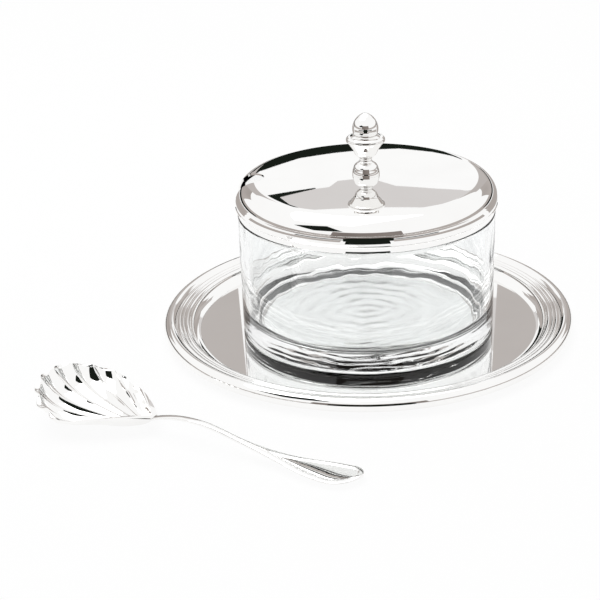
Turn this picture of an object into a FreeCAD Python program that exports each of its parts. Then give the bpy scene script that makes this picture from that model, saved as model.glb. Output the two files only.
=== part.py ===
import FreeCAD, Part
import Sketcher
import math
import os

# A cheese server: a round silver-plated tray, a clear glass bowl, a silver-plated lid with a turned
# finial and a spoon notch, and a loose shell spoon. Millimetres, +Z up. The origin is on the bowl's
# axis at the table, the spoon notch is at -X and the spoon lies on the table at the front left.

PARTS_FOLDER = "parts"
ON_AXIS = "on the axis"

# Driving dimensions: name, value, what it is.
DIMENSIONS = [
    ("tray_radius", 90.0, "outer radius of the tray"),
    ("tray_sheet", 1.2, "thickness of the tray's floor"),
    ("bead_radius", 3.0, "radius of the rounded outer bead"),
    ("bead_height", 4.9, "height of the bead's centre above the table"),
    ("reed_foot", 78.7, "radius where the reeds begin"),
    ("reed_rise", 5.2, "height of the innermost reed's foot"),
    ("reed_step", 0.25, "rise from one reed to the next"),
    ("well_radius", 74.0, "radius of the tray's flat floor"),
    ("glass_radius", 55.2, "outer radius of the glass bowl"),
    ("glass_wall", 3.7, "thickness of the glass wall"),
    ("glass_base", 7.0, "thickness of the glass base"),
    ("glass_tall", 53.2, "height of the glass bowl"),
    ("glass_foot_round", 2.2, "rounding of the lower outer corner"),
    ("glass_floor_round", 5.0, "rounding of the inner corner"),
    ("glass_rim_round", 1.0, "rounding of the rim"),
    ("lid_radius", 56.0, "outer radius of the lid"),
    ("lid_sheet", 0.8, "thickness of the lid's metal"),
    ("lid_rise", 14.8, "height of the lid above the glass rim at its centre"),
    ("shoulder_start", 47.7, "radius where the dome turns into the shoulder"),
    ("shoulder_top", 13.78, "height of the shoulder's upper end above the glass rim"),
    ("shoulder_radius", 8.5, "radius of the rounded shoulder"),
    ("shoulder_foot", 7.2, "height of the shoulder's lower end above the glass rim"),
    ("band_height", 7.05, "height of the crease above the band"),
    ("ridge_height", 3.1, "height of the ridge that parts the two bands"),
    ("ridge_out", 0.25, "how far the ridge stands out"),
    ("band_taper", 0.55, "how far the band draws in at its lower edge"),
    ("notch_width", 14.0, "width of the spoon notch"),
    ("notch_reach", 50.3, "distance from the axis to the centre of the notch's round end"),
    ("seat_collar_radius", 50.9, "outer radius of the seat ring's collar"),
    ("seat_collar_drop", 3.0, "how far the collar reaches into the glass"),
    ("seat_sheet", 0.8, "thickness of the seat ring"),
    ("seat_flange_radius", 55.0, "outer radius of the seat ring's flange"),
    ("finial_foot", 5.8, "radius of the finial's foot"),
    ("finial_tall", 26.8, "height of the finial"),
    ("finial_neck", 2.55, "radius of the finial's neck"),
    ("finial_saucer", 8.3, "radius of the finial's saucer"),
    ("finial_egg", 5.3, "radius of the finial's egg"),
    ("thread_radius", 1.75, "radius of the finial's screw"),
    ("thread_gap", 0.1, "play between the screw and its hole"),
    ("screw_head_radius", 3.4, "radius of the screw's head"),
    ("screw_head_tall", 2.0, "height of the screw's head"),
    ("screw_reach", 6.5, "length of thread inside the finial"),
    ("washer_radius", 5.0, "outer radius of the washer"),
    ("washer_sheet", 0.8, "thickness of the washer"),
    ("spoon_bowl_long", 47.0, "length of the shell bowl"),
    ("spoon_bowl_deep", 6.1, "depth of the shell bowl"),
    ("spoon_sheet", 1.1, "thickness of the shell at its rim"),
    ("spoon_neck", 2.8, "width of the handle at the shell"),
    ("spoon_handle_long", 89.8, "length of the handle"),
]


class Size:
    """A dimension: its value, and the expression that binds it to the sheet."""

    def __init__(self, value, text):
        self.value = value
        self.text = text

    def _join(self, other, sign, value):
        text = other.text if isinstance(other, Size) else repr(other)
        return Size(value, f"({self.text} {sign} {text})")

    def __add__(self, other):
        return self._join(other, "+", self.value + number(other))

    def __sub__(self, other):
        return self._join(other, "-", self.value - number(other))

    def __mul__(self, other):
        return self._join(other, "*", self.value * number(other))

    def __truediv__(self, other):
        return self._join(other, "/", self.value / number(other))

    def __neg__(self):
        return Size(-self.value, f"(0 - {self.text})")


def number(item):
    return item.value if isinstance(item, Size) else float(item)


def make_sheet(doc):
    sheet = doc.addObject("Spreadsheet::Sheet", "Sizes")
    for row, (name, value, note) in enumerate(DIMENSIONS, start=1):
        sheet.set(f"A{row}", note)
        sheet.set(f"B{row}", str(value))
        sheet.setAlias(f"B{row}", name)
    doc.recompute()
    return {name: Size(float(sheet.get(name)), f"Sizes.{name}") for name, _, _ in DIMENSIONS}


def origin_plane(body, role):
    return next(item for item in body.Origin.OriginFeatures if item.Role == role)


def place_at(body, height):
    body.setExpression("Placement.Base.z", height.text)


def bind(sketch, constraint, size):
    if isinstance(size, Size):
        sketch.setExpression(f"Constraints[{constraint}]", size.text)


def fix_corner(sketch, edge, end, across, up):
    """Hold one end of an edge at its distances from the sketch's origin."""
    if number(across) == 0:
        sketch.addConstraint(Sketcher.Constraint("PointOnObject", edge, end, -2))
    else:
        bind(sketch, sketch.addConstraint(
            Sketcher.Constraint("DistanceX", -1, 1, edge, end, number(across))), across)
    if number(up) == 0:
        sketch.addConstraint(Sketcher.Constraint("PointOnObject", edge, end, -1))
    else:
        bind(sketch, sketch.addConstraint(
            Sketcher.Constraint("DistanceY", -1, 1, edge, end, number(up))), up)


def arc_between(start, end, radius, side):
    """The short arc from start to end; side is +1 where it bulges to the left of the way, else -1."""
    if radius == ON_AXIS:
        level = (start.Length ** 2 - end.Length ** 2) / (2 * (start.y - end.y))
        radius = start.distanceToPoint(FreeCAD.Vector(0, level, 0))
    chord = end - start
    left = FreeCAD.Vector(-chord.y, chord.x, 0).normalize()
    inset = math.sqrt(max(radius * radius - chord.Length ** 2 / 4, 0))
    centre = (start + end) / 2 - left * inset * side
    first, last = (end, start) if side > 0 else (start, end)
    turn = [math.atan2(point.y - centre.y, point.x - centre.x) for point in (first, last)]
    circle = Part.Circle(centre, FreeCAD.Vector(0, 0, 1), radius)
    return Part.ArcOfCircle(circle, turn[0], turn[1])


def closed_sketch(body, name, role, outline):
    """A closed outline of lines and arcs. Each entry is (across, up) or (across, up, radius, side),
    where the last two describe the arc from that corner to the next one. An arc with the radius
    ON_AXIS has its centre on the upright axis, so it turns into part of a ball."""
    sketch = body.newObject("Sketcher::SketchObject", name)
    sketch.AttachmentSupport = (origin_plane(body, role), [""])
    sketch.MapMode = "FlatFace"
    points = [FreeCAD.Vector(number(entry[0]), number(entry[1]), 0) for entry in outline]
    starts = []
    ends = []
    for index, entry in enumerate(outline):
        start = points[index]
        end = points[(index + 1) % len(points)]
        if len(entry) == 2:
            edge = sketch.addGeometry(Part.LineSegment(start, end))
            starts.append((edge, 1))
            ends.append((edge, 2))
            continue
        radius = entry[2] if entry[2] == ON_AXIS else number(entry[2])
        edge = sketch.addGeometry(arc_between(start, end, radius, entry[3]))
        first, last = (2, 1) if entry[3] > 0 else (1, 2)
        starts.append((edge, first))
        ends.append((edge, last))
    for index in range(len(outline)):
        following = (index + 1) % len(outline)
        sketch.addConstraint(Sketcher.Constraint("Coincident", *ends[index], *starts[following]))
    for index, entry in enumerate(outline):
        fix_corner(sketch, *starts[index], entry[0], entry[1])
        if len(entry) < 4:
            continue
        edge = starts[index][0]
        if entry[2] == ON_AXIS:
            sketch.addConstraint(Sketcher.Constraint("PointOnObject", edge, 3, -2))
            continue
        bind(sketch, sketch.addConstraint(
            Sketcher.Constraint("Radius", edge, number(entry[2]))), entry[2])
    return sketch


def turned_body(doc, name, outline):
    """A body turned about its own Z axis from a closed half profile."""
    body = doc.addObject("PartDesign::Body", name)
    sketch = closed_sketch(body, f"{name}_profile", "XZ_Plane", outline)
    turn = body.newObject("PartDesign::Revolution", f"{name}_turned")
    turn.Profile = sketch
    turn.ReferenceAxis = (sketch, ["V_Axis"])
    turn.Angle = 360
    sketch.Visibility = False
    return body


def cut_through(body, name, outline):
    """Cut an outline, drawn on the body's XY plane, right through it both ways."""
    sketch = closed_sketch(body, f"{name}_outline", "XY_Plane", outline)
    pocket = body.newObject("PartDesign::Pocket", name)
    pocket.Profile = sketch
    pocket.Type = "ThroughAll"
    pocket.Midplane = True
    sketch.Visibility = False


def make_tray(doc, size):
    """Pressed tray: flat floor, rising wall, three reeds and a hollow outer bead."""
    sheet = size["tray_sheet"]
    bead = size["bead_radius"]
    middle = size["tray_radius"] - bead
    centre = size["bead_height"]
    foot = size["reed_foot"]
    rise = size["reed_rise"]
    step = size["reed_step"]
    hollow = bead - sheet
    well = size["well_radius"]
    outline = [
        (0, 0),
        (well + 1.0, 0, 5.0, -1),
        (foot + 0.6, rise - sheet - 0.6),
        (middle - hollow, centre, hollow, 1),
        (middle, centre + hollow, hollow, 1),
        (middle + hollow, centre, hollow, 1),
        (middle + 1.27, centre - 1.27, 0.75, -1),
        (middle + 1.6, centre - 2.54, bead, -1),
        (size["tray_radius"], centre, bead, -1),
        (middle, centre + bead, bead, -1),
        (middle - 2.75, centre + 1.2, 1.3, -1),
        (foot + 3.5, rise + step * 3, 0.9, -1),
        (foot + 2.2, rise + step * 2, 1.6, -1),
        (foot, rise, 5.0, 1),
        (well, sheet),
        (0, sheet),
    ]
    return turned_body(doc, "tray", outline)


def make_glass(doc, size):
    """Blown bowl with a thick base and a fire-polished rim."""
    outer = size["glass_radius"]
    inner = outer - size["glass_wall"]
    tall = size["glass_tall"]
    base = size["glass_base"]
    foot = size["glass_foot_round"]
    floor = size["glass_floor_round"]
    rim = size["glass_rim_round"]
    outline = [
        (0, 0),
        (outer - foot, 0, foot, -1),
        (outer, foot),
        (outer, tall - rim, rim, -1),
        (outer - rim, tall),
        (inner + rim, tall, rim, -1),
        (inner, tall - rim),
        (inner, base + floor, floor, 1),
        (inner - floor, base),
        (0, base),
    ]
    body = turned_body(doc, "glass_bowl", outline)
    place_at(body, size["tray_sheet"])
    return body


def notch_outline(size):
    """The spoon notch: a slot open at -X with a round inner end."""
    half = size["notch_width"] / 2
    inner = -size["notch_reach"]
    outer = -(size["lid_radius"] + 6)
    return [
        (outer, -half),
        (inner, -half, half, -1),
        (inner + half, 0, half, -1),
        (inner, half),
        (outer, half),
    ]


def lid_seat_height(size):
    return size["tray_sheet"] + size["glass_tall"]


def make_lid_cover(doc, size):
    """Spun cover: flat dome, round shoulder, crease, and two bands parted by a ridge."""
    sheet = size["lid_sheet"]
    outer = size["lid_radius"] - size["ridge_out"]
    start = size["shoulder_start"]
    top = size["shoulder_top"]
    shoulder = size["shoulder_radius"]
    foot = size["shoulder_foot"]
    ridge = size["ridge_height"]
    hole = size["thread_radius"] + size["thread_gap"]
    taper = size["band_taper"]
    skirt = outer - taper - sheet
    rest = size["seat_sheet"]
    outline = [
        (hole, size["lid_rise"] - sheet, ON_AXIS, 1),
        (start - 0.03, top - sheet, shoulder - sheet, 1),
        (outer - 0.91, foot - 0.18),
        (skirt, ridge),
        (skirt, rest),
        (outer - taper, rest),
        (outer, ridge - 0.35),
        (outer + size["ridge_out"], ridge - 0.1),
        (outer + size["ridge_out"], ridge + 0.15),
        (outer, ridge + 0.4, shoulder - sheet, -1),
        (outer - 0.22, size["band_height"]),
        (outer - 0.13, foot, shoulder, -1),
        (start, top, ON_AXIS, -1),
        (hole, size["lid_rise"]),
    ]
    body = turned_body(doc, "lid_cover", outline)
    cut_through(body, "spoon_notch", notch_outline(size))
    place_at(body, lid_seat_height(size))
    return body


def make_seat_ring(doc, size):
    """Ring soldered under the lid: a flange on the glass rim and a collar inside the glass."""
    sheet = size["seat_sheet"]
    outer = size["seat_flange_radius"]
    collar = size["seat_collar_radius"]
    drop = -size["seat_collar_drop"]
    outline = [
        (collar - sheet, drop),
        (collar, drop),
        (collar, 0),
        (outer, 0),
        (outer, sheet),
        (collar - sheet, sheet),
    ]
    body = turned_body(doc, "lid_seat_ring", outline)
    cut_through(body, "seat_notch", notch_outline(size))
    place_at(body, lid_seat_height(size))
    return body


def make_finial(doc, size):
    """Turned knob: domed foot, neck, cup, flared saucer, ring and egg, tapped from below."""
    foot = size["finial_foot"]
    tall = size["finial_tall"]
    hole = size["thread_radius"] + size["thread_gap"]
    depth = size["screw_reach"] + 0.6
    neck = size["finial_neck"]
    saucer = size["finial_saucer"]
    egg = size["finial_egg"]
    outline = [
        (hole, 0),
        (foot, 0, ON_AXIS, -1),
        (foot - 0.45, 2.6, 3.6, -1),
        (neck + 0.55, 5.4, 1.4, 1),
        (neck, 6.6, 1.6, 1),
        (neck + 1.0, 7.9, 5.2, -1),
        (5.2, 10.5),
        (5.45, 11.0),
        (saucer - 0.5, 14.4, 1.6, -1),
        (saucer - 0.5, 16.5, 3.0, -1),
        (egg + 1.0, 16.9, 0.7, -1),
        (egg + 0.3, 17.9),
        (egg - 0.4, 18.1, 6.0, -1),
        (egg, 20.4),
        (egg, 20.9, ON_AXIS, -1),
        (egg * 0.6, egg * 0.8 + 20.9),
        (0.7, tall - 0.3),
        (0.4, tall),
        (0, tall),
        (0, depth),
        (hole, depth),
    ]
    body = turned_body(doc, "finial_knob", outline)
    place_at(body, lid_seat_height(size) + size["lid_rise"])
    return body


def make_washer(doc, size):
    hole = size["thread_radius"] + size["thread_gap"]
    outline = [
        (hole, -size["washer_sheet"]),
        (size["washer_radius"], -size["washer_sheet"]),
        (size["washer_radius"], 0),
        (hole, 0),
    ]
    body = turned_body(doc, "finial_washer", outline)
    place_at(body, lid_seat_height(size) + size["lid_rise"] - size["lid_sheet"] - 0.02)
    return body


def make_screw(doc, size):
    """Slotted round-head screw that draws the finial down on the lid."""
    thread = size["thread_radius"]
    head = size["screw_head_radius"]
    tall = size["screw_head_tall"]
    tip = size["screw_reach"] + size["lid_sheet"] + size["washer_sheet"]
    outline = [
        (0, -tall),
        (head - 1.6, -tall, 1.9, -1),
        (head, 0),
        (thread, 0),
        (thread, tip - 0.5),
        (thread - 0.5, tip),
        (0, tip),
    ]
    body = turned_body(doc, "finial_screw", outline)
    slot = closed_sketch(body, "slot_outline", "XZ_Plane", [
        (-0.4, -(tall + 0.5)),
        (0.4, -(tall + 0.5)),
        (0.4, -(tall - 0.9)),
        (-0.4, -(tall - 0.9)),
    ])
    pocket = body.newObject("PartDesign::Pocket", "driver_slot")
    pocket.Profile = slot
    pocket.Type = "ThroughAll"
    pocket.Midplane = True
    slot.Visibility = False
    top = lid_seat_height(size) + size["lid_rise"] - size["lid_sheet"]
    place_at(body, top - size["washer_sheet"] - 0.02)
    return body


# The spoon is drawn along its own X axis: the heel, where handle and shell meet, is at x = 0, the
# shell runs to +X and the handle to -X. Its ridges run from the heel to the notches in the rim.
SPOON_HEEL = (-82.2, -96.6, 6.5)
SPOON_TURN = 151.3
SHELL_PITCH = 8.5
SHELL_ROLL = 3.8
FLUTE_STEP = 10.6
SHELL_SPREAD = 42.4


def shell_height(size, x, y):
    """Height of the shell's inner surface: a fan-shaped bowl with eight flutes from the heel."""
    angle = math.degrees(math.atan2(abs(y), x))
    spread = angle / SHELL_SPREAD
    rim_at = size["spoon_bowl_long"].value * (1 - 0.34 * min(spread, 1.1) ** 2)
    along = math.hypot(x, y) / rim_at
    ends = max(1 - abs(2 * along - 1) ** 4, -0.1)
    sides = max(1 - spread ** 3, -0.1)
    bowl = size["spoon_bowl_deep"].value * min(ends, sides, ends * sides)
    rim = 3.6 * (x / 55) ** 2 - 1.9 * (min(abs(y), 24.0) / 18) ** 2
    grow = max(0.0, min(1.0, (math.hypot(x, y) - 5) / 24))
    wave = 0.5 - 0.5 * math.cos(2 * math.pi * min(angle, SHELL_SPREAD) / FLUTE_STEP)
    return rim - bowl - 1.3 * grow * wave


def field_block(size, drop, margin, bottom):
    """The solid under the shell's surface, lowered by drop times the slope's lengthening."""
    long = size["spoon_bowl_long"].value
    start = -6.0 - margin
    span_x = long + 11.0 + 2 * margin
    half_y = 26.0 + margin
    columns = 44
    rows = 34
    grid = []
    for i in range(columns + 1):
        line = []
        for j in range(rows + 1):
            x = start + span_x * i / columns
            y = half_y * (2 * j / rows - 1)
            z = shell_height(size, x, y)
            if drop:
                slope_x = (shell_height(size, x + 0.2, y) - shell_height(size, x - 0.2, y)) / 0.4
                slope_y = (shell_height(size, x, y + 0.2) - shell_height(size, x, y - 0.2)) / 0.4
                z -= drop * min(math.sqrt(1 + slope_x ** 2 + slope_y ** 2), 2.2)
            line.append(FreeCAD.Vector(x, y, z))
        grid.append(line)
    surface = Part.BSplineSurface()
    surface.interpolate(grid)
    return surface.toShape().extrude(FreeCAD.Vector(0, 0, -bottom))


def shell_outline(size):
    """The scalloped rim seen from above: a round lobe for each flute, with notches between."""
    grow = size["spoon_bowl_long"].value / 47.0
    side = [(27.0, 21.3, 3.0), (31.9, 19.8, 5.3), (40.3, 15.6, 5.0), (45.3, 8.5, 4.8)]
    outline = [(-1.5, 2.0), (-1.5, -2.0, 110.0, -1)]
    outline += [(x * grow, -y, lobe, -1) for x, y, lobe in side]
    outline.append((47.0 * grow, 0.0, 4.8, -1))
    back = list(reversed(side))
    lobes = [5.0, 5.3, 3.0, 110.0]
    outline += [(x * grow, y, lobe, -1) for (x, y, _), lobe in zip(back, lobes)]
    return outline


def padded(doc, name, role, outline, length):
    """A closed outline padded evenly to both sides of its plane."""
    body = doc.addObject("PartDesign::Body", name)
    sketch = closed_sketch(body, f"{name}_outline", role, outline)
    pad = body.newObject("PartDesign::Pad", f"{name}_pad")
    pad.Profile = sketch
    pad.Length = length
    pad.Midplane = True
    sketch.Visibility = False
    return body


def boolean(doc, kind, name, base, tool):
    result = doc.addObject(f"Part::{kind}", name)
    result.Base = base
    result.Tool = tool
    return result


def fixed_shape(doc, name, shape):
    item = doc.addObject("Part::Feature", name)
    item.Shape = shape
    return item


def handle_strip(size, raised):
    """Side view of the handle: a low arch behind the heel, then a long fall that levels out."""
    past = -size["spoon_handle_long"] - 1.0
    return [
        (3.0, 3.7 + raised),
        (3.0, 5.1 + raised, 56.0, -1),
        (-33.0, 8.5 + raised, 200.0, 1),
        (past, 3.2 + raised),
        (past, 1.8 + raised, 201.4, -1),
        (-33.0, 7.1 + raised, 54.6, 1),
    ]


def handle_plan(size):
    """The handle seen from above: a narrow neck that opens to a broad, slightly skewed round end."""
    end = -size["spoon_handle_long"]
    neck = size["spoon_neck"] / 2
    return [
        (2.0, neck),
        (-36.0, neck - 0.1, 132.0, 1),
        (-60.0, 3.5, 60.0, -1),
        (end + 12.8, 5.8, 11.5, -1),
        (end, -4.0, 5.2, -1),
        (end + 5.3, -9.2, 60.0, -1),
        (-68.0, -6.0, 110.0, 1),
        (-36.0, -(neck - 0.1)),
        (2.0, -neck),
    ]


def recess_plan(size):
    """The lancet panel sunk in the handle's end, inside a border of even width."""
    end = -size["spoon_handle_long"]
    return [
        (-50.0, 0, 90.0, 1),
        (-63.0, 2.3, 60.0, -1),
        (end + 12.8, 4.1, 9.8, -1),
        (end + 1.8, -4.0, 3.6, -1),
        (end + 5.5, -7.4, 60.0, -1),
        (-67.0, -4.3, 90.0, 1),
    ]


def make_spoon(doc, size):
    """Cast shell spoon in one piece: fluted shell, arched neck and broad threaded end."""
    upper = fixed_shape(doc, "shell_upper", field_block(size, 0.0, 0.0, 60.0))
    lower = fixed_shape(doc, "shell_lower", field_block(size, size["spoon_sheet"].value, 4.0, 90.0))
    rim = padded(doc, "shell_rim", "XY_Plane", shell_outline(size), 120.0)
    hollow = boolean(doc, "Cut", "shell_sheet", upper, lower)
    shell = boolean(doc, "Common", "shell", hollow, rim)
    shell.Placement = FreeCAD.Placement(
        FreeCAD.Vector(0, 0, SPOON_HEEL[2]),
        FreeCAD.Rotation(0, -SHELL_PITCH, SHELL_ROLL),
    )
    side = padded(doc, "handle_side", "XZ_Plane", handle_strip(size, 0.0), 60.0)
    plan = padded(doc, "handle_top", "XY_Plane", handle_plan(size), 120.0)
    blank = boolean(doc, "Common", "handle_blank", side, plan)
    panel_side = padded(doc, "panel_side", "XZ_Plane", handle_strip(size, 1.0), 60.0)
    panel_plan = padded(doc, "panel_top", "XY_Plane", recess_plan(size), 120.0)
    panel = boolean(doc, "Common", "panel", panel_side, panel_plan)
    handle = boolean(doc, "Cut", "handle", blank, panel)
    spoon = boolean(doc, "Fuse", "spoon", shell, handle)
    spoon.Placement = FreeCAD.Placement(
        FreeCAD.Vector(SPOON_HEEL[0], SPOON_HEEL[1], 0),
        FreeCAD.Rotation(FreeCAD.Vector(0, 0, 1), SPOON_TURN),
    )
    return spoon


def check(doc, pieces):
    doc.recompute()
    for item in doc.Objects:
        if "Invalid" in item.State or "Error" in item.State:
            raise RuntimeError(f"{item.Name} failed to build: {item.State}")
    for item in pieces:
        shape = item.Shape
        if shape.isNull() or not shape.isValid():
            raise RuntimeError(f"{item.Label} has no valid shape")
        if len(shape.Solids) != 1:
            raise RuntimeError(f"{item.Label} has {len(shape.Solids)} solids")


def main():
    doc = FreeCAD.newDocument("cheese_server")
    size = make_sheet(doc)
    makers = [
        make_tray,
        make_glass,
        make_lid_cover,
        make_seat_ring,
        make_finial,
        make_washer,
        make_screw,
        make_spoon,
    ]
    pieces = [maker(doc, size) for maker in makers]
    check(doc, pieces)
    os.makedirs(PARTS_FOLDER, exist_ok=True)
    for item in pieces:
        box = item.Shape.BoundBox
        print(f"{item.Label}: {item.Shape.Volume / 1000:.2f} cm3, z {box.ZMin:.2f} to {box.ZMax:.2f}")
        item.Shape.exportStep(f"{PARTS_FOLDER}/{item.Label}.step")


main()
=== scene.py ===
import math

import bmesh
import bpy
from mathutils import Matrix, Vector


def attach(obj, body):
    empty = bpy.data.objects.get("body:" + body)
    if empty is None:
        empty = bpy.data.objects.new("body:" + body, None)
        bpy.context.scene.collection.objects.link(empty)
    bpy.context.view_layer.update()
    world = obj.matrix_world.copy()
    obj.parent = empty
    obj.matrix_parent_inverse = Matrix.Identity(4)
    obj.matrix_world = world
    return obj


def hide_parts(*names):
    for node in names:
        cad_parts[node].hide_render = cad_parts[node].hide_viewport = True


bl_info = {
    "name": "Cheese Server",
    "version": (1, 0, 0),
    "blender": (4, 5, 0),
    "location": "View3D > Sidebar > Cheese Server",
    "description": "Dresses a silver-plated cheese server with its glass bowl, lid and shell spoon",
    "category": "Object",
}

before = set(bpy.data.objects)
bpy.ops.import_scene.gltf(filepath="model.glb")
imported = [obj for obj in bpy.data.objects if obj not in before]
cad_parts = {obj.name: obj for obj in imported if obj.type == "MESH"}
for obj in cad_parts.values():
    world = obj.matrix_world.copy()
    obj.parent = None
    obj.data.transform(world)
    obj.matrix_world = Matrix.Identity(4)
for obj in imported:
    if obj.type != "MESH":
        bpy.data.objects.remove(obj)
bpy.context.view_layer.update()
MM = 0.001
ON_AXIS = "on the axis"


# Sizes and finishes that a user would change. Lengths are in millimetres.

class ServerSizes(bpy.types.PropertyGroup):
    turned_steps: bpy.props.IntProperty(
        name="Turned Steps", description="Faces round a turned piece", default=320, min=48, max=720)
    tray_radius: bpy.props.FloatProperty(
        name="Tray Radius", description="Outer radius of the tray in mm", default=90.0, min=70.0, max=120.0)
    glass_radius: bpy.props.FloatProperty(
        name="Glass Radius", description="Outer radius of the glass bowl in mm", default=55.2, min=40.0,
        max=70.0)
    glass_tall: bpy.props.FloatProperty(
        name="Glass Height", description="Height of the glass bowl in mm", default=53.2, min=30.0, max=80.0)
    glass_base: bpy.props.FloatProperty(
        name="Glass Base", description="Thickness of the glass bowl's base in mm", default=7.0, min=3.0,
        max=12.0)
    notch_width: bpy.props.FloatProperty(
        name="Notch Width", description="Width of the lid's spoon notch in mm", default=14.0, min=8.0,
        max=20.0)
    notch_reach: bpy.props.FloatProperty(
        name="Notch Reach", description="Distance from the axis to the notch's round end in mm",
        default=50.3, min=40.0, max=54.0)
    flute_depth: bpy.props.FloatProperty(
        name="Flute Depth", description="Depth of the shell's flutes in mm", default=1.4, min=0.0, max=3.0)
    spoon_sheet: bpy.props.FloatProperty(
        name="Spoon Sheet", description="Thickness of the spoon's shell in mm", default=1.0, min=0.6, max=2.0)


class ServerFinish(bpy.types.PropertyGroup):
    silver: bpy.props.StringProperty(
        name="Silver", description="Colour of the polished silver plate, sRGB hex", default="FDFDFC")
    silver_shade: bpy.props.StringProperty(
        name="Silver Shade", description="Colour of the plate where polish is thin, sRGB hex",
        default="F6F5F4")
    glass: bpy.props.StringProperty(
        name="Glass", description="Colour of the clear glass, sRGB hex", default="FDFEFE")
    steel: bpy.props.StringProperty(
        name="Steel", description="Colour of the zinc-plated steel, sRGB hex", default="C9CACB")
    polish: bpy.props.FloatProperty(
        name="Polish", description="Roughness of the polished plate", default=0.008, min=0.0, max=0.5,
        subtype="FACTOR")


def sizes():
    return bpy.context.scene.server_sizes


def finishes():
    return bpy.context.scene.server_finish


# Small helpers.

def linear(code):
    """An sRGB hex colour as linear red, green, blue and alpha."""
    values = [int(code[i:i + 2], 16) / 255 for i in (0, 2, 4)]
    return [v / 12.92 if v <= 0.04045 else ((v + 0.055) / 1.055) ** 2.4 for v in values] + [1.0]


def add_node(tree, kind, settings=None, values=None, links=None):
    """One node with its settings, its socket values and its links from other sockets."""
    node = tree.nodes.new(kind)
    for key, value in (settings or {}).items():
        setattr(node, key, value)
    for key, value in (values or {}).items():
        node.inputs[key].default_value = value
    for key, source in (links or {}).items():
        tree.links.new(source, node.inputs[key])
    return node


def smooth_share(value):
    """0 below 0, 1 above 1 and a smooth turn between."""
    value = max(0.0, min(1.0, value))
    return value * value * (3 - 2 * value)


def arc_points(start, end, radius, side, step, reach):
    """Points after start on the short arc to end. Side 1 bulges to the left of travel, -1 to the right."""
    a = Vector(start)
    b = Vector(end)
    chord = b - a
    left = Vector((-chord.y, chord.x)).normalized()
    inset = math.sqrt(max(radius * radius - chord.length_squared / 4, 0))
    centre = (a + b) / 2 - left * inset * side
    first = math.atan2(a.y - centre.y, a.x - centre.x)
    turn = math.atan2(b.y - centre.y, b.x - centre.x) - first
    turn = (turn + math.pi) % (2 * math.pi) - math.pi
    count = max(2, math.ceil(abs(math.degrees(turn)) / step), math.ceil(abs(turn) * radius / reach))
    return [
        (centre.x + radius * math.cos(first + turn * i / count),
         centre.y + radius * math.sin(first + turn * i / count))
        for i in range(1, count + 1)
    ]


def line_points(start, end, reach):
    """Points after start on the straight line to end, with one close to each end to keep it flat."""
    length = math.dist(start, end)
    shares = [1.0]
    if length > 1.2:
        inner = max(1, math.ceil((length - 0.6) / reach))
        shares = [(0.3 + (length - 0.6) * i / inner) / length for i in range(inner + 1)] + [1.0]
    return [(start[0] + (end[0] - start[0]) * s, start[1] + (end[1] - start[1]) * s) for s in shares]


def ball_radius(low, high):
    """Radius of the ball centred on the axis through two points (across, up)."""
    up = (low[0] ** 2 + low[1] ** 2 - high[0] ** 2 - high[1] ** 2) / (2 * (low[1] - high[1]))
    return math.hypot(low[0], low[1] - up)


def outline_points(outline, step=5.0, reach=2.5):
    """Turns (across, up) and (across, up, radius, side) corners into an open line of points."""
    points = [tuple(outline[0][:2])]
    for entry, following in zip(outline, outline[1:]):
        start = entry[:2]
        end = following[:2]
        if len(entry) == 2:
            points += line_points(start, end, reach)
            continue
        radius = ball_radius(start, end) if entry[2] == ON_AXIS else entry[2]
        points += arc_points(start, end, radius, entry[3], step, reach)
    return points


def lifted(points, height):
    return [(r, z + height) for r, z in points]


def follow(points, across):
    """Height of a line of points at one place across, between its nearest points."""
    ordered = sorted(points)
    for low, high in zip(ordered, ordered[1:]):
        if low[0] <= across <= high[0]:
            share = (across - low[0]) / max(high[0] - low[0], 1e-9)
            return low[1] + (high[1] - low[1]) * share
    return ordered[0][1] if across < ordered[0][0] else ordered[-1][1]


def mesh_object(name, vertices, faces):
    mesh = bpy.data.meshes.new(name)
    mesh.from_pydata([tuple(c * MM for c in v) for v in vertices], [], faces)
    obj = bpy.data.objects.new(name, mesh)
    bpy.context.scene.collection.objects.link(obj)
    return obj


def close_and_smooth(obj, crease=35.0):
    """Merges seams and poles, points the faces outwards and shades smooth between sharp edges."""
    mesh = obj.data
    work = bmesh.new()
    work.from_mesh(mesh)
    bmesh.ops.remove_doubles(work, verts=work.verts, dist=2e-6)
    bmesh.ops.dissolve_degenerate(work, edges=work.edges, dist=1e-6)
    bmesh.ops.recalc_face_normals(work, faces=work.faces)
    open_edges = [e for e in work.edges if not e.is_manifold]
    if open_edges:
        raise RuntimeError(f"{obj.name} has {len(open_edges)} open edges")
    work.to_mesh(mesh)
    work.free()
    mesh.shade_smooth()
    mesh.set_sharp_from_angle(angle=math.radians(crease))


def joined_shape(obj, other, operation):
    """Cuts or joins another closed shape and keeps the result as the object's own mesh."""
    modifier = obj.modifiers.new("Shape", "BOOLEAN")
    modifier.operation = operation
    modifier.solver = "EXACT"
    modifier.object = other
    depsgraph = bpy.context.evaluated_depsgraph_get()
    mesh = bpy.data.meshes.new_from_object(obj.evaluated_get(depsgraph))
    obj.modifiers.remove(modifier)
    obj.data = mesh
    mesh.name = obj.name
    bpy.data.objects.remove(other)


def dressed(obj, body, slot, material, *nodes):
    """Gives a finished piece its material and its body, and hides the nodes that it stands for."""
    obj.data.materials.clear()
    obj.data.materials.append(material)
    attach(obj, body)
    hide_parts(*nodes)
    return obj


# Geometry Nodes: a turned piece is one profile spun about the upright axis.

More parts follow.
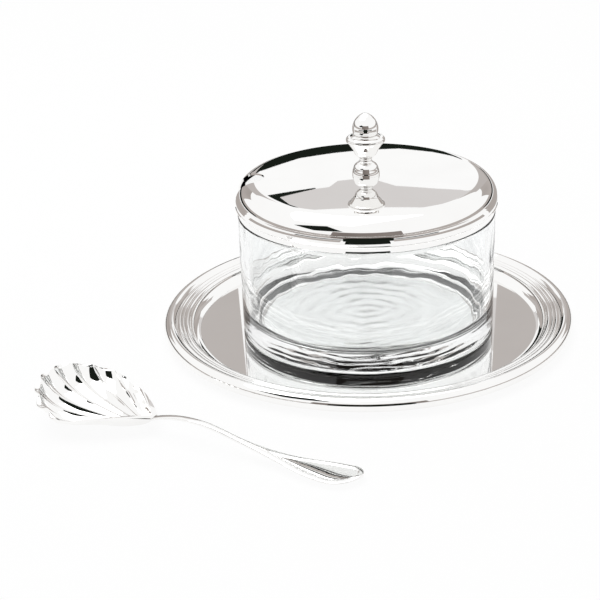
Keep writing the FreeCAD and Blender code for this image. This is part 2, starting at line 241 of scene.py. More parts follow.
def turning_tree():
    """Spins the points of a profile, drawn in the XZ plane, about Z into a skin."""
    name = "Turned Piece"
    tree = bpy.data.node_groups.get(name)
    if tree:
        return tree
    tree = bpy.data.node_groups.new(name, "GeometryNodeTree")
    sockets = tree.interface
    sockets.new_socket("Geometry", in_out="INPUT", socket_type="NodeSocketGeometry")
    sockets.new_socket("Steps", in_out="INPUT", socket_type="NodeSocketInt").default_value = 320
    sockets.new_socket("Material", in_out="INPUT", socket_type="NodeSocketMaterial")
    sockets.new_socket("Geometry", in_out="OUTPUT", socket_type="NodeSocketGeometry")
    given = add_node(tree, "NodeGroupInput")
    profile = given.outputs["Geometry"]
    size = add_node(tree, "GeometryNodeAttributeDomainSize", links={"Geometry": profile})
    columns = add_node(tree, "ShaderNodeMath", {"operation": "ADD"}, {1: 1.0}, {0: given.outputs["Steps"]})
    grid = add_node(tree, "GeometryNodeMeshGrid", links={
        "Vertices X": size.outputs["Point Count"],
        "Vertices Y": columns.outputs[0],
    })
    index = add_node(tree, "GeometryNodeInputIndex")
    nudged = add_node(tree, "ShaderNodeMath", {"operation": "ADD"}, {1: 0.5}, {0: index.outputs[0]})
    ratio = add_node(tree, "ShaderNodeMath", {"operation": "DIVIDE"},
                     links={0: nudged.outputs[0], 1: columns.outputs[0]})
    row = add_node(tree, "ShaderNodeMath", {"operation": "FLOOR"}, links={0: ratio.outputs[0]})
    start = add_node(tree, "ShaderNodeMath", {"operation": "MULTIPLY"},
                     links={0: row.outputs[0], 1: columns.outputs[0]})
    column = add_node(tree, "ShaderNodeMath", {"operation": "SUBTRACT"},
                      links={0: index.outputs[0], 1: start.outputs[0]})
    share = add_node(tree, "ShaderNodeMath", {"operation": "DIVIDE"},
                     links={0: column.outputs[0], 1: given.outputs["Steps"]})
    angle = add_node(tree, "ShaderNodeMath", {"operation": "MULTIPLY"}, {1: 2 * math.pi},
                     {0: share.outputs[0]})
    where = add_node(tree, "GeometryNodeInputPosition")
    point = add_node(tree, "GeometryNodeSampleIndex", {"data_type": "FLOAT_VECTOR"}, links={
        "Geometry": profile,
        "Value": where.outputs[0],
        "Index": row.outputs[0],
    })
    split = add_node(tree, "ShaderNodeSeparateXYZ", links={0: point.outputs[0]})
    cosine = add_node(tree, "ShaderNodeMath", {"operation": "COSINE"}, links={0: angle.outputs[0]})
    sine = add_node(tree, "ShaderNodeMath", {"operation": "SINE"}, links={0: angle.outputs[0]})
    across = add_node(tree, "ShaderNodeMath", {"operation": "MULTIPLY"},
                      links={0: split.outputs["X"], 1: cosine.outputs[0]})
    along = add_node(tree, "ShaderNodeMath", {"operation": "MULTIPLY"},
                     links={0: split.outputs["X"], 1: sine.outputs[0]})
    place = add_node(tree, "ShaderNodeCombineXYZ", links={
        "X": across.outputs[0],
        "Y": along.outputs[0],
        "Z": split.outputs["Z"],
    })
    moved = add_node(tree, "GeometryNodeSetPosition", links={
        "Geometry": grid.outputs["Mesh"],
        "Position": place.outputs[0],
    })
    real = add_node(tree, "GeometryNodeRealizeInstances", links={"Geometry": moved.outputs[0]})
    coated = add_node(tree, "GeometryNodeSetMaterial", links={
        "Geometry": real.outputs[0],
        "Material": given.outputs["Material"],
    })
    add_node(tree, "NodeGroupOutput", links={"Geometry": coated.outputs[0]})
    return tree


def turned(name, points, material, steps):
    """A turned piece from its profile, made by the Turned Piece tree and kept as a plain mesh."""
    profile = mesh_object(f"{name}_profile", [(r, 0.0, z) for r, z in points], [])
    modifier = profile.modifiers.new("Turned", "NODES")
    modifier.node_group = turning_tree()
    keys = {item.name: item.identifier for item in modifier.node_group.interface.items_tree
            if item.in_out == "INPUT"}
    modifier[keys["Steps"]] = steps
    modifier[keys["Material"]] = material
    depsgraph = bpy.context.evaluated_depsgraph_get()
    mesh = bpy.data.meshes.new_from_object(profile.evaluated_get(depsgraph))
    profile.modifiers.remove(modifier)
    bpy.data.objects.remove(profile)
    mesh.name = name
    obj = bpy.data.objects.new(name, mesh)
    bpy.context.scene.collection.objects.link(obj)
    close_and_smooth(obj)
    return obj


# Profiles of the turned pieces: (across, up) corners, each with an arc's radius and side where one
# starts there. They are the same as the solids have.

def tray_profile(size):
    """Pressed tray: flat floor, rising wall, three reeds and a hollow outer bead."""
    middle = size.tray_radius - 3.0
    return outline_points([
        (0, 0),
        (75.0, 0, 5.0, -1),
        (79.3, 3.4),
        (middle - 1.8, 4.9, 1.8, 1),
        (middle, 6.7, 1.8, 1),
        (middle + 1.8, 4.9, 1.8, 1),
        (middle + 1.27, 3.63, 0.75, -1),
        (middle + 1.6, 2.36, 3.0, -1),
        (middle + 3.0, 4.9, 3.0, -1),
        (middle, 7.9, 3.0, -1),
        (middle - 2.75, 6.1, 1.3, -1),
        (82.2, 5.95, 0.9, -1),
        (80.9, 5.7, 1.6, -1),
        (78.7, 5.2, 5.0, 1),
        (74.0, 1.2),
        (0, 1.2),
    ])


def glass_profile(size):
    """Blown bowl with a thick base and a fire-polished rim."""
    outer = size.glass_radius
    inner = outer - 3.7
    tall = size.glass_tall
    base = size.glass_base
    return outline_points([
        (0, 0),
        (outer - 2.2, 0, 2.2, -1),
        (outer, 2.2),
        (outer, tall - 1.0, 1.0, -1),
        (outer - 1.0, tall),
        (inner + 1.0, tall, 1.0, -1),
        (inner, tall - 1.0),
        (inner, base + 5.0, 5.0, 1),
        (inner - 5.0, base),
        (0, base),
    ])


def cover_profile():
    """Spun cover: flat dome, round shoulder, crease, and two bands parted by a ridge."""
    return outline_points([
        (1.85, 14.0, ON_AXIS, 1),
        (47.67, 12.98, 7.7, 1),
        (54.84, 7.02),
        (54.4, 3.1),
        (54.4, 0.8),
        (55.2, 0.8),
        (55.75, 2.75),
        (56.0, 3.0),
        (56.0, 3.25),
        (55.75, 3.5, 7.7, -1),
        (55.53, 7.05),
        (55.62, 7.2, 8.5, -1),
        (47.7, 13.78, ON_AXIS, -1),
        (1.85, 14.8),
        (1.85, 14.0),
    ], step=2.0, reach=1.1)


def seat_profile():
    """Ring soldered under the lid: a flange on the glass rim and a collar inside the glass."""
    return outline_points([
        (50.1, -3.0),
        (50.9, -3.0),
        (50.9, 0),
        (55.0, 0),
        (55.0, 0.8),
        (50.1, 0.8),
        (50.1, -3.0),
    ])


def finial_profile():
    """Turned knob: domed foot, neck, cup, flared saucer, ring and pointed egg."""
    return outline_points([
        (0, 7.1),
        (1.85, 7.1),
        (1.85, 0),
        (5.8, 0, ON_AXIS, -1),
        (5.35, 2.6, 3.6, -1),
        (3.1, 5.4, 1.4, 1),
        (2.55, 6.6, 1.6, 1),
        (3.55, 7.9, 5.2, -1),
        (5.2, 10.5),
        (5.45, 11.0),
        (7.6, 14.0, 1.2, -1),
        (8.25, 15.3, 1.3, -1),
        (7.3, 16.5, 3.4, 1),
        (5.0, 17.1),
    ], step=4.0, reach=0.6) + egg_points()


def egg_points():
    """The finial's egg: fullest low down, drawn in to a blunt point."""
    points = []
    for i in range(1, 61):
        turn = math.radians(-24 + 114 * i / 60)
        points.append((5.5 * max(math.cos(turn), 0.0) ** 1.3, 19.9 + 6.85 * math.sin(turn)))
    return points


# Materials.

def silver_plate(name, seed):
    """Silver electroplate on brass, buffed: a bright, slightly warm mirror with a faint haze."""
    look = finishes()
    material = bpy.data.materials.new(name)
    material.use_nodes = True
    tree = material.node_tree
    tree.nodes.clear()
    place = add_node(tree, "ShaderNodeTexCoord")
    shift = add_node(tree, "ShaderNodeMapping", values={"Location": (seed * 0.13, seed * 0.07, 0.0)},
                     links={"Vector": place.outputs["Object"]})
    # Buffing leaves soft clouds of thinner polish 15 to 30 mm across.
    clouds = add_node(tree, "ShaderNodeTexNoise", values={"Scale": 45.0, "Detail": 3.0, "Roughness": 0.5},
                      links={"Vector": shift.outputs[0]})
    tint = add_node(tree, "ShaderNodeMix", {"data_type": "RGBA"}, links={"Factor": clouds.outputs["Fac"]})
    tint.inputs[6].default_value = linear(look.silver)
    tint.inputs[7].default_value = linear(look.silver_shade)
    haze = add_node(tree, "ShaderNodeMapRange",
                    values={"From Min": 0.3, "From Max": 0.75, "To Min": look.polish * 0.6,
                            "To Max": look.polish * 1.5},
                    links={"Value": clouds.outputs["Fac"]})
    # Wiping marks about 0.4 mm apart.
    marks = add_node(tree, "ShaderNodeTexNoise", values={"Scale": 2500.0, "Detail": 2.0},
                     links={"Vector": shift.outputs[0]})
    bump = add_node(tree, "ShaderNodeBump", values={"Strength": 0.002, "Distance": 0.0002},
                    links={"Height": marks.outputs["Fac"]})
    surface = add_node(tree, "ShaderNodeBsdfPrincipled", values={"Metallic": 1.0}, links={
        "Base Color": tint.outputs[2],
        "Roughness": haze.outputs["Result"],
        "Normal": bump.outputs["Normal"],
    })
    add_node(tree, "ShaderNodeOutputMaterial", links={"Surface": surface.outputs[0]})
    return material


def clear_glass(name):
    """Clear blown soda-lime glass, fire-polished: colourless, with the slight waviness of blowing."""
    look = finishes()
    material = bpy.data.materials.new(name)
    material.use_nodes = True
    tree = material.node_tree
    tree.nodes.clear()
    place = add_node(tree, "ShaderNodeTexCoord")
    # The wall's thickness wanders over 20 to 40 mm, which bends what is seen through it.
    swell = add_node(tree, "ShaderNodeTexNoise", values={"Scale": 30.0, "Detail": 1.0},
                     links={"Vector": place.outputs["Object"]})
    bump = add_node(tree, "ShaderNodeBump", values={"Strength": 0.05, "Distance": 0.0006},
                    links={"Height": swell.outputs["Fac"]})
    # Turning in the mould leaves rings about 6 mm apart on the base, which break up what it shows.
    rings = add_node(tree, "ShaderNodeTexWave", {"wave_type": "RINGS", "rings_direction": "Z"},
                     {"Scale": 44.0, "Distortion": 7.0, "Detail": 2.0, "Detail Scale": 0.9},
                     {"Vector": place.outputs["Object"]})
    ripple = add_node(tree, "ShaderNodeBump", values={"Strength": 0.28, "Distance": 0.00025},
                      links={"Height": rings.outputs["Fac"], "Normal": bump.outputs["Normal"]})
    surface = add_node(tree, "ShaderNodeBsdfPrincipled",
                       values={"Base Color": linear(look.glass), "Roughness": 0.0, "IOR": 1.52,
                               "Transmission Weight": 1.0},
                       links={"Normal": ripple.outputs["Normal"]})
    add_node(tree, "ShaderNodeOutputMaterial", links={"Surface": surface.outputs[0]})
    return material


def zinc_steel(name):
    """Zinc-plated steel screw and washer: grey, satin, with fine turning marks."""
    look = finishes()
    material = bpy.data.materials.new(name)
    material.use_nodes = True
    tree = material.node_tree
    tree.nodes.clear()
    place = add_node(tree, "ShaderNodeTexCoord")
    spangle = add_node(tree, "ShaderNodeTexNoise", values={"Scale": 900.0, "Detail": 4.0},
                       links={"Vector": place.outputs["Object"]})
    tint = add_node(tree, "ShaderNodeMix", {"data_type": "RGBA"}, links={"Factor": spangle.outputs["Fac"]})
    tint.inputs[6].default_value = linear(look.steel)
    tint.inputs[7].default_value = linear("A9ABAD")
    rough = add_node(tree, "ShaderNodeMapRange", values={"To Min": 0.22, "To Max": 0.42},
                     links={"Value": spangle.outputs["Fac"]})
    surface = add_node(tree, "ShaderNodeBsdfPrincipled", values={"Metallic": 1.0}, links={
        "Base Color": tint.outputs[2],
        "Roughness": rough.outputs["Result"],
    })
    add_node(tree, "ShaderNodeOutputMaterial", links={"Surface": surface.outputs[0]})
    return material


# The lid's spoon notch.

def notch_cutter(size):
    """Upright slot, open at -X with a round inner end, tall enough to pass through the lid."""
    half = size.notch_width / 2
    inner = -size.notch_reach
    plan = [(-62.0, half), (-62.0, -half), (inner, -half)]
    plan += arc_points((inner, -half), (inner + half, 0), half, -1, 4.0, 1.0)
    plan += arc_points((inner + half, 0), (inner, half), half, -1, 4.0, 1.0)
    low = [(x, y, 45.0) for x, y in plan]
    high = [(x, y, 75.0) for x, y in plan]
    count = len(plan)
    faces = [tuple(reversed(range(count))), tuple(range(count, 2 * count))]
    faces += [(i, (i + 1) % count, count + (i + 1) % count, count + i) for i in range(count)]
    cutter = mesh_object("notch_cutter", low + high, faces)
    close_and_smooth(cutter)
    return cutter


# The spoon, drawn along its own X axis: the heel, where handle and shell meet, is at x = 0, the
# shell runs to +X and the handle to -X.

SPOON_HEEL = (-82.2, -96.6, 6.5)
SPOON_TURN = 151.3
SHELL_PITCH = 8.5
SHELL_ROLL = 3.8
FLUTE_STEP = 10.6
SHELL_SPREAD = 42.4
SHELL_LONG = 47.0
SHELL_DEEP = 6.1
HANDLE_END = -88.2


def shell_height(size, x, y):
    """Height of the shell's inner surface: a fan-shaped bowl with eight flutes from the heel."""
    angle = math.degrees(math.atan2(abs(y), x))
    spread = angle / SHELL_SPREAD
    rim_at = SHELL_LONG * (1 - 0.34 * min(spread, 1.1) ** 2)
    along = math.hypot(x, y) / rim_at
    ends = max(1 - abs(2 * along - 1) ** 4, -0.1)
    sides = max(1 - spread ** 3, -0.1)
    bowl = SHELL_DEEP * min(ends, sides, ends * sides)
    rim = 3.6 * (x / 55) ** 2 - 1.9 * (min(abs(y), 24.0) / 18) ** 2
    grow = max(0.0, min(1.0, (math.hypot(x, y) - 5) / 24))
    wave = abs(math.sin(math.pi * min(angle, SHELL_SPREAD) / FLUTE_STEP))
    return rim - bowl - size.flute_depth * grow * wave


def shell_outline():
    """The scalloped rim seen from above: a round lobe for each flute, with notches between."""
    side = [(27.0, 21.3, 3.0), (31.9, 19.8, 5.3), (40.3, 15.6, 5.0), (45.3, 8.5, 4.8)]
    outline = [(-1.5, 2.0), (-1.5, -2.0, 110.0, -1)]
    outline += [(x, -y, lobe, -1) for x, y, lobe in side]
    outline.append((SHELL_LONG, 0.0, 4.8, -1))
    lobes = [5.0, 5.3, 3.0, 110.0]
    outline += [(x, y, lobe, -1) for (x, y, _), lobe in zip(reversed(side), lobes)]
    outline.append((-1.5, 2.0))
    return outline_points(outline, step=3.0, reach=0.5)


def plan_radius(outline, angle):
    """Distance from the heel to the rim in one direction, in degrees from the shell's axis."""
    best = 0.0
    aim = Vector((math.cos(math.radians(angle)), math.sin(math.radians(angle))))
    for a, b in zip(outline, outline[1:]):
        edge = Vector(b) - Vector(a)
        cross = aim.x * edge.y - aim.y * edge.x
        if abs(cross) < 1e-12:
            continue
        out = (a[0] * edge.y - a[1] * edge.x) / cross
        share = (a[0] * aim.y - a[1] * aim.x) / cross
        if -1e-9 <= share <= 1 + 1e-9 and out > best:
            best = out
    return best


def shell_angles():
    """Directions round the heel: close together over the flutes, wider round the back."""
    fan = 4 * 32
    angles = [SHELL_SPREAD * i / fan for i in range(-fan, fan + 1)]
    back = 72
    angles += [SHELL_SPREAD + (360 - 2 * SHELL_SPREAD) * i / back for i in range(1, back)]
    return angles


def shell_mesh(size):
    """The fluted shell as a closed sheet: inner face, rounded rim and outer face."""
    outline = shell_outline()
    angles = shell_angles()
    rings = 56
    reach = [plan_radius(outline, a) for a in angles]
    tops = []
    for k in range(rings + 1):
        share = 1 - (1 - k / rings) ** 1.35
        for angle, out in zip(angles, reach):
            distance = max(share * (out - 0.25), 0.0)
            x = distance * math.cos(math.radians(angle))
            y = distance * math.sin(math.radians(angle))
            tops.append((x, y, shell_height(size, x, y)))
    lows = []
    for x, y, z in tops:
        slope_x = (shell_height(size, x + 0.2, y) - shell_height(size, x - 0.2, y)) / 0.4
        slope_y = (shell_height(size, x, y + 0.2) - shell_height(size, x, y - 0.2)) / 0.4
        drop = size.spoon_sheet * min(math.sqrt(1 + slope_x ** 2 + slope_y ** 2), 2.2)
        lows.append((x, y, z - drop))
    count = len(angles)
    rim = []
    for i, (angle, out) in enumerate(zip(angles, reach)):
        x = out * math.cos(math.radians(angle))
        y = out * math.sin(math.radians(angle))
        high = tops[rings * count + i][2]
        low = lows[rings * count + i][2]
        rim.append((x, y, high + (low - high) * 0.3))
        rim.append((x, y, high + (low - high) * 0.7))
    vertices = tops + lows + rim
    under = len(tops)
    edge = under + len(lows)
    faces = []
    for i in range(count):
        j = (i + 1) % count
        for k in range(rings):
            a, b, c, d = k * count + i, k * count + j, (k + 1) * count + j, (k + 1) * count + i
            faces.append((a, d, c, b))
            faces.append((under + a, under + b, under + c, under + d))
        last = rings * count
        faces.append((last + i, edge + 2 * i, edge + 2 * j, last + j))
        faces.append((edge + 2 * i, edge + 2 * i + 1, edge + 2 * j + 1, edge + 2 * j))
        faces.append((edge + 2 * i + 1, under + last + i, under + last + j, edge + 2 * j + 1))
    obj = mesh_object("spoon_shell", vertices, faces)
    tilt = Matrix.Rotation(math.radians(-SHELL_PITCH), 4, "Y") @ Matrix.Rotation(
        math.radians(SHELL_ROLL), 4, "X")
    obj.data.transform(Matrix.Translation((0, 0, SPOON_HEEL[2] * MM)) @ tilt)
    close_and_smooth(obj, 50.0)
    return obj


def handle_middle():
    """Side view of the handle's middle line: a low arch behind the heel, then a long fall."""
    upper = outline_points([
        (3.0, 5.1, 56.0, -1),
        (-33.0, 8.5, 200.0, 1),
        (HANDLE_END - 1.0, 3.2),
    ], step=2.0, reach=1.0)
    return [(x, z - 0.7) for x, z in upper]


def handle_edges():
    """The handle's two edges seen from above: a narrow neck and a broad, slightly skewed round end."""
    near = outline_points([
        (3.0, 1.4),
        (-36.0, 1.3, 132.0, 1),
        (-60.0, 3.5, 60.0, -1),
        (HANDLE_END + 12.8, 5.8, 11.5, -1),
        (HANDLE_END, -4.0),
    ], step=2.0, reach=0.4)
    far = outline_points([
        (HANDLE_END, -4.0, 5.2, -1),
        (HANDLE_END + 5.3, -9.2, 60.0, -1),
        (-68.0, -6.0, 110.0, 1),
        (-36.0, -1.3),
        (3.0, -1.4),
    ], step=2.0, reach=0.4)
    return near, far


def panel_edges():
    """The two edges of the panel sunk in the handle's end."""
    near = outline_points([
        (-50.0, 0, 90.0, 1),
        (-63.0, 2.3, 60.0, -1),
        (HANDLE_END + 12.8, 4.1, 9.8, -1),
        (HANDLE_END + 1.8, -4.0),
    ], step=2.0, reach=0.4)
    far = outline_points([
        (HANDLE_END + 1.8, -4.0, 3.6, -1),
        (HANDLE_END + 5.5, -7.4, 60.0, -1),
        (-67.0, -4.3, 90.0, 1),
        (-50.0, 0),
    ], step=2.0, reach=0.4)
    return near, far


def handle_mesh():
    """The handle as one closed skin: rounded edges and a sunk lancet panel near its end."""
    middle = handle_middle()
    near, far = handle_edges()
    panel_near, panel_far = panel_edges()
    broad = HANDLE_END + 11.0
    stations = [2.6 + (broad - 2.6) * i / 190 for i in range(191)]
    stations += [broad - 11.0 * math.sin(math.pi / 2 * i / 60) for i in range(1, 61)]
    across = 80
    vertices = []
    for x in stations:
        high_side = follow(near, x)
        low_side = follow(far, x)
        centre = (high_side + low_side) / 2
        wide = max((high_side - low_side) / 2, 0.02)
        high = follow(middle, x)
        thick = 0.7 * min(1.0, 0.25 + wide / 1.2)
        on_panel = HANDLE_END + 1.8 < x < -50.0
        for k in range(across):
            turn = 2 * math.pi * (k + 0.5) / across
            c = math.cos(turn)
            s = math.sin(turn)
            out = wide * math.copysign(abs(c) ** 0.8, c)
            y = centre + out
            z = high + thick * math.copysign(abs(s) ** 0.35, s) * (1 - 0.12 * (out / wide) ** 2)
            if s > 0 and on_panel:
                inside = min(follow(panel_near, x) - y, y - follow(panel_far, x))
                z -= 0.4 * smooth_share(inside / 0.5)
            vertices.append((x, y, z))
    faces = []
    for i in range(len(stations) - 1):
        for k in range(across):
            a = i * across + k
            b = i * across + (k + 1) % across
            faces.append((a, b, b + across, a + across))
    faces.append(tuple(range(across)))
    last = (len(stations) - 1) * across
    faces.append(tuple(reversed(range(last, last + across))))
    obj = mesh_object("spoon_handle", vertices, faces)
    close_and_smooth(obj, 50.0)
    return obj


# Operators: one for each piece or group of like pieces, and one for the stage.

class SERVER_OT_tray(bpy.types.Operator):
    """Make the round tray with its reeded rim"""
    bl_idname = "server.tray"
    bl_label = "Tray"

    def execute(self, context):
        size = sizes()
        silver = silver_plate("silver_plate_tray", 1)
        tray = turned("tray_reeded", tray_profile(size), silver, size.turned_steps)
        dressed(tray, "tray", "tray_plate", silver, "tray")
        return {"FINISHED"}


class SERVER_OT_glass(bpy.types.Operator):
    """Make the clear glass bowl that stands on the tray"""
    bl_idname = "server.glass"
    bl_label = "Glass Bowl"

    def execute(self, context):
        size = sizes()
        glass = clear_glass("soda_lime_glass")
        bowl = turned("glass_bowl_clear", lifted(glass_profile(size), 1.21), glass, size.turned_steps)
        dressed(bowl, "bowl", "clear_glass", glass, "glass_bowl")
        return {"FINISHED"}


class SERVER_OT_lid(bpy.types.Operator):
    """Make the lid: the spun cover and the seat ring, with the spoon notch cut through both"""
    bl_idname = "server.lid"
    bl_label = "Lid"

    def execute(self, context):
        size = sizes()
        silver = silver_plate("silver_plate_lid", 2)
        seat = 1.2 + size.glass_tall
        cover = turned("lid_cover_spun", lifted(cover_profile(), seat), silver, size.turned_steps)
        joined_shape(cover, notch_cutter(size), "DIFFERENCE")
        close_and_smooth(cover)
        dressed(cover, "lid", "lid_plate", silver, "lid_cover")
        ring = turned("lid_seat_ring_soldered", lifted(seat_profile(), seat), silver, size.turned_steps)
        joined_shape(ring, notch_cutter(size), "DIFFERENCE")
        close_and_smooth(ring)
        dressed(ring, "lid", "lid_plate", silver, "lid_seat_ring")
        return {"FINISHED"}


class SERVER_OT_finial(bpy.types.Operator):
    """Make the turned finial, and give its screw and washer their finish"""
    bl_idname = "server.finial"
    bl_label = "Finial"

    def execute(self, context):
        size = sizes()
        silver = silver_plate("silver_plate_finial", 3)
        knob = turned("finial_turned", lifted(finial_profile(), 69.2), silver, 192)
        dressed(knob, "lid", "turned_plate", silver, "finial_knob")
        steel = zinc_steel("zinc_plated_steel")
        for name in ("finial_screw", "finial_washer"):
            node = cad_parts[name]
            node.data.materials.clear()
            node.data.materials.append(steel)
        return {"FINISHED"}


class SERVER_OT_spoon(bpy.types.Operator):
    """Make the shell spoon in one piece"""
    bl_idname = "server.spoon"
    bl_label = "Shell Spoon"

    def execute(self, context):
        size = sizes()
        silver = silver_plate("silver_plate_spoon", 4)
        spoon = shell_mesh(size)
        spoon.name = "spoon_fluted"
        joined_shape(spoon, handle_mesh(), "UNION")
        place = Matrix.Translation((SPOON_HEEL[0] * MM, SPOON_HEEL[1] * MM, 0))
        spoon.data.transform(place @ Matrix.Rotation(math.radians(SPOON_TURN), 4, "Z"))
        close_and_smooth(spoon, 50.0)
        dressed(spoon, "spoon", "spoon_plate", silver, "spoon")
        return {"FINISHED"}


# Stage: a white table, a studio that silver can show, soft light and the camera.

def table_white(name):
    """White studio table: plain white to the camera, metal and glass, under a faint soft shadow."""
    material = bpy.data.materials.new(name)
    material.use_nodes = True
    tree = material.node_tree
    tree.nodes.clear()
    path = add_node(tree, "ShaderNodeLightPath")
    seen = add_node(tree, "ShaderNodeMath", {"operation": "MAXIMUM"},
                    links={0: path.outputs["Is Camera Ray"], 1: path.outputs["Is Glossy Ray"]})
    shown = add_node(tree, "ShaderNodeMath", {"operation": "MAXIMUM"},
                     links={0: seen.outputs[0], 1: path.outputs["Is Transmission Ray"]})
    shaded = add_node(tree, "ShaderNodeBsdfDiffuse", values={"Color": (0.12, 0.12, 0.12, 1.0)})
    glow = add_node(tree, "ShaderNodeEmission", values={"Color": (1, 1, 1, 1), "Strength": 0.89})
    white = add_node(tree, "ShaderNodeAddShader", links={0: shaded.outputs[0], 1: glow.outputs[0]})
    plain = add_node(tree, "ShaderNodeBsdfDiffuse", values={"Color": linear("F2F2F2")})
    mixed = add_node(tree, "ShaderNodeMixShader", links={
        0: shown.outputs[0], 1: plain.outputs[0], 2: white.outputs[0]})
    add_node(tree, "ShaderNodeOutputMaterial", links={"Surface": mixed.outputs[0]})
    return material


def card_finish(name, near, far, strength=1.0):
    """Studio card: a plain tone that drifts softly from one hex colour to another across it."""
    material = bpy.data.materials.new(name)
    material.use_nodes = True
    tree = material.node_tree
    tree.nodes.clear()
    place = add_node(tree, "ShaderNodeTexCoord")
    drift = add_node(tree, "ShaderNodeTexNoise", values={"Scale": 0.8, "Detail": 0.0},
                     links={"Vector": place.outputs["Object"]})
    tone = add_node(tree, "ShaderNodeMix", {"data_type": "RGBA"}, links={"Factor": drift.outputs["Fac"]})
    tone.inputs[6].default_value = linear(near)
    tone.inputs[7].default_value = linear(far)
    glow = add_node(tree, "ShaderNodeEmission", values={"Strength": strength},
                    links={"Color": tone.outputs[2]})
    add_node(tree, "ShaderNodeOutputMaterial", links={"Surface": glow.outputs[0]})
    return material


# Cards that stand round the table, as corners (azimuth, elevation) in degrees seen from the lid.
# Azimuth 0 is straight behind the server and 180 is behind the camera.

def far_point(azimuth, elevation, distance):
    a = math.radians(azimuth)
    e = math.radians(elevation)
    return (distance * math.sin(a) * math.cos(e), distance * math.cos(a) * math.cos(e),
            0.06 + distance * math.sin(e))


def card(name, corners, distance, material):
    mesh = bpy.data.meshes.new(name)
    points = [far_point(a, e, distance) for a, e in corners]
    mesh.from_pydata(points, [], [tuple(range(len(points)))])
    obj = bpy.data.objects.new(name, mesh)
    bpy.context.scene.collection.objects.link(obj)
    mesh.materials.append(material)
    obj.visible_camera = False
    obj.visible_diffuse = False
    obj.visible_shadow = False
    obj.visible_transmission = False
    return obj


def floor_card(name, first, last, near, far, material, step=5.0):
    """A card that lies on the table between two azimuths and two distances from the server's axis."""
    count = max(1, math.ceil(abs(last - first) / step))
    turns = [math.radians(first + (last - first) * i / count) for i in range(count + 1)]
    obj = card(name, [(0.0, 0.0)] * (2 * count + 2), 1.0, material)
    places = [(near, turn) for turn in turns] + [(far, turn) for turn in reversed(turns)]
    for corner, (reach, turn) in zip(obj.data.vertices, places):
        corner.co = (reach * math.sin(turn), reach * math.cos(turn), 0.0004)
    obj.data.update()
    return obj


def flag_over(name, left, right, near, far, height, material):
    """A level card above the table, which only metal and glass can see. Its sides are in metres."""
    obj = card(name, [(0.0, 0.0)] * 4, 1.0, material)
    places = [(left, near), (right, near), (right, far), (left, far)]
    for corner, (x, y) in zip(obj.data.vertices, places):
        corner.co = (x, y, height)
    obj.data.update()
    return obj


def band_corners(first, last, low, high, step=5.0):
    """A card that follows the horizon from one azimuth to another."""
    count = max(1, math.ceil(abs(last - first) / step))
    turns = [first + (last - first) * i / count for i in range(count + 1)]
    return [(a, low) for a in turns] + [(a, high) for a in reversed(turns)]


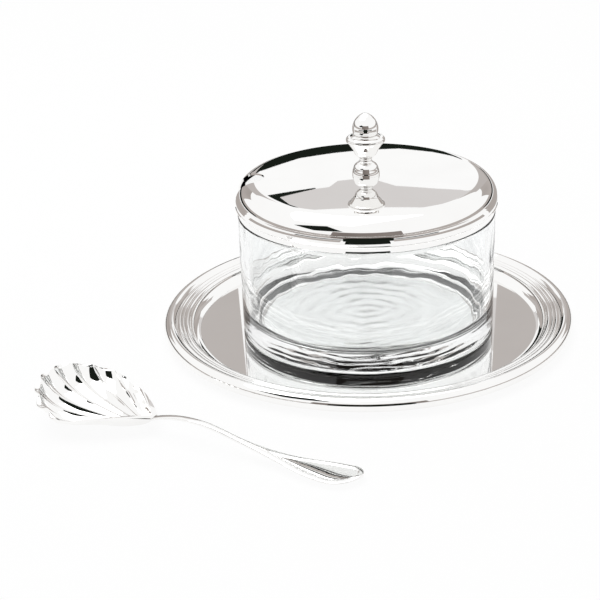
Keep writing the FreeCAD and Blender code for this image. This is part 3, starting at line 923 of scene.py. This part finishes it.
class SERVER_OT_stage(bpy.types.Operator):
    """Make the table, the cards that the silver shows, the soft light and the camera"""
    bl_idname = "server.stage"
    bl_label = "Stage"

    def execute(self, context):
        table = bpy.data.meshes.new("table")
        reach = 6.0
        table.from_pydata([(-reach, -reach, 0), (reach, -reach, 0), (reach, reach, 0), (-reach, reach, 0)],
                          [], [(0, 1, 2, 3)])
        floor = bpy.data.objects.new("table", table)
        context.scene.collection.objects.link(floor)
        table.materials.append(table_white("table_white"))
        black = card_finish("black_flag", "141814", "1C211C")
        grey = card_finish("grey_card", "C9C4C2", "DAD7D6")
        grey_deep = card_finish("grey_card_deep", "B9B3B0", "C4BFBC")
        # Warm grey of the side walls. The same grey on the table cards below is painted shade.
        wall = card_finish("warm_grey_wall_and_table_shade", "A39C98", "BDB6B2")
        room = card_finish("room_front", "6E6662", "948B86")
        band_top = [(-75, 4), (-13, 5), (-9.5, 16.8), (-8.1, 17.1), (-6.7, 16.4), (-4.2, 14.5), (-2.1, 13.8),
                    (-0.2, 13.3), (2.1, 13.0), (4.2, 13.6), (5.9, 14.5), (6.3, 14.7)]
        card("back_flag", band_top + [(6.3, 0.5), (-30, 0.5), (-75, 0.5)], 4.5, black)
        card("back_flag_right", band_corners(13, 62, 0.5, 4.5), 4.4, black)
        card("grey_reflector", [(-7.7, 21.8), (-4.0, 20.9), (-2.9, 20.7), (-2.2, 19.6), (-1.1, 19.4),
                                (0.9, 19.7), (2.3, 20.7), (5.2, 21.0), (7.4, 21.0), (9, 21.2), (9, 24.3),
                                (6.2, 24.4), (3.6, 24.5), (0, 24.6), (-6.1, 24.6)], 1.6, grey)
        card("grey_side_left", [(-27, 9), (-13, 9), (-13, 28), (-27, 28)], 0.5, grey_deep)
        card("grey_side_right", [(13, 9), (27, 9), (27, 28), (13, 28)], 0.5, grey_deep)
        card("flag_edge_low", [(-7.9, 21.4), (-4.0, 20.7), (-4.0, 20.9), (-7.0, 22.0)], 1.55, black)
        card("flag_edge_side", [(-7.9, 21.4), (-7.0, 21.8), (-5.7, 24.6), (-6.3, 24.6)], 1.55, black)
        card("side_wall_left", band_corners(-42, -10, 0.5, 24.0), 5.0, wall)
        card("side_wall_right", band_corners(9.5, 42, 0.5, 24.0), 5.0, wall)
        card("side_skirt_left", band_corners(-150, -42, 0.5, 10.0), 5.0, wall)
        card("side_skirt_right", band_corners(42, 150, 0.5, 10.0), 5.0, wall)
        card("room_behind_camera", band_corners(150, 210, 0.5, 26.0), 3.0, room)
        card("camera_stand_low", [(160, -12), (198, -12), (198, 1), (195, 4), (190, 5.5), (168, 5.5),
                                  (163, 4), (160, 1)], 0.30, black)
        # Painted shade: grey cards lie on the white table and only metal and glass see them. They stand in
        # for shade on the table round the server.
        floor_card("table_shade_left", -62, -9.5, 0.20, 2.5, wall)
        floor_card("table_shade_right", 9.5, 62, 0.20, 2.5, wall)
        floor_card("table_edge_front", 120, 240, 0.55, 1.2, black)
        flag_over("flag_over_spoon", -0.19, -0.07, -0.208, -0.106, 0.16, black)
        # Painted shade: grey cards on the table in front of the server, which only metal and glass see.
        floor_card("table_shade_front_left", 200, 290, 0.22, 0.45, wall)
        floor_card("table_shade_front_right", 70, 160, 0.22, 0.45, wall)
        floor_card("camera_stand_foot", 163, 196, 0.150, 0.32, black)
        world = bpy.data.worlds.new("studio")
        context.scene.world = world
        world.use_nodes = True
        tree = world.node_tree
        tree.nodes.clear()
        path = add_node(tree, "ShaderNodeLightPath")
        seen = add_node(tree, "ShaderNodeMath", {"operation": "MAXIMUM"},
                        links={0: path.outputs["Is Camera Ray"], 1: path.outputs["Is Glossy Ray"]})
        shown = add_node(tree, "ShaderNodeMath", {"operation": "MAXIMUM"},
                         links={0: seen.outputs[0], 1: path.outputs["Is Transmission Ray"]})
        strength = add_node(tree, "ShaderNodeMapRange", values={"To Min": 0.6, "To Max": 1.0},
                            links={"Value": shown.outputs[0]})
        sky = add_node(tree, "ShaderNodeBackground", values={"Color": (1, 1, 1, 1)},
                       links={"Strength": strength.outputs["Result"]})
        add_node(tree, "ShaderNodeOutputWorld", links={"Surface": sky.outputs[0]})
        light = bpy.data.lights.new("overhead_softbox", "AREA")
        light.shape = "RECTANGLE"
        light.size = 1.6
        light.size_y = 1.2
        light.energy = 9.0
        lamp = bpy.data.objects.new("overhead_softbox", light)
        lamp.location = (-0.3, 0.2, 1.5)
        lamp.rotation_euler = (Vector((0, 0, 0)) - lamp.location).to_track_quat("-Z", "Y").to_euler()
        context.scene.collection.objects.link(lamp)
        lens = bpy.data.cameras.new("camera")
        lens.lens = 78.0
        lens.sensor_width = 36.0
        lens.shift_x = -68 / 600
        lens.clip_start = 0.01
        camera = bpy.data.objects.new("camera", lens)
        camera.matrix_world = (
            Matrix.Translation((0.0, -0.5278, 0.24125))
            @ Matrix.Rotation(math.radians(66.4), 4, "X")
            @ Matrix.Rotation(math.radians(-0.9), 4, "Z")
        )
        context.scene.collection.objects.link(camera)
        context.scene.camera = camera
        context.scene.view_settings.view_transform = "Standard"
        return {"FINISHED"}


class SERVER_PT_panel(bpy.types.Panel):
    """Sizes, finishes and makers of the cheese server"""
    bl_idname = "SERVER_PT_panel"
    bl_label = "Cheese Server"
    bl_space_type = "VIEW_3D"
    bl_region_type = "UI"
    bl_category = "Cheese Server"

    def draw(self, context):
        layout = self.layout
        for group in (context.scene.server_sizes, context.scene.server_finish):
            column = layout.column(align=True)
            for key in group.bl_rna.properties.keys():
                if key not in ("rna_type", "name"):
                    column.prop(group, key)
        for maker in MAKERS:
            layout.operator(maker.bl_idname)


MAKERS = (SERVER_OT_tray, SERVER_OT_glass, SERVER_OT_lid, SERVER_OT_finial, SERVER_OT_spoon,
          SERVER_OT_stage)
CLASSES = (ServerSizes, ServerFinish) + MAKERS + (SERVER_PT_panel,)


def register():
    for item in CLASSES:
        bpy.utils.register_class(item)
    bpy.types.Scene.server_sizes = bpy.props.PointerProperty(type=ServerSizes)
    bpy.types.Scene.server_finish = bpy.props.PointerProperty(type=ServerFinish)


def unregister():
    del bpy.types.Scene.server_finish
    del bpy.types.Scene.server_sizes
    for item in reversed(CLASSES):
        bpy.utils.unregister_class(item)


def plain(box):
    """A box as plain lists of numbers."""
    return [[round(float(v), 6) for v in corner] for corner in box]


def main():
    register()
    bpy.ops.server.tray()
    bpy.ops.server.glass()
    bpy.ops.server.lid()
    bpy.ops.server.finial()
    bpy.ops.server.spoon()
    bpy.ops.server.stage()


if __name__ == "__main__":
    main()
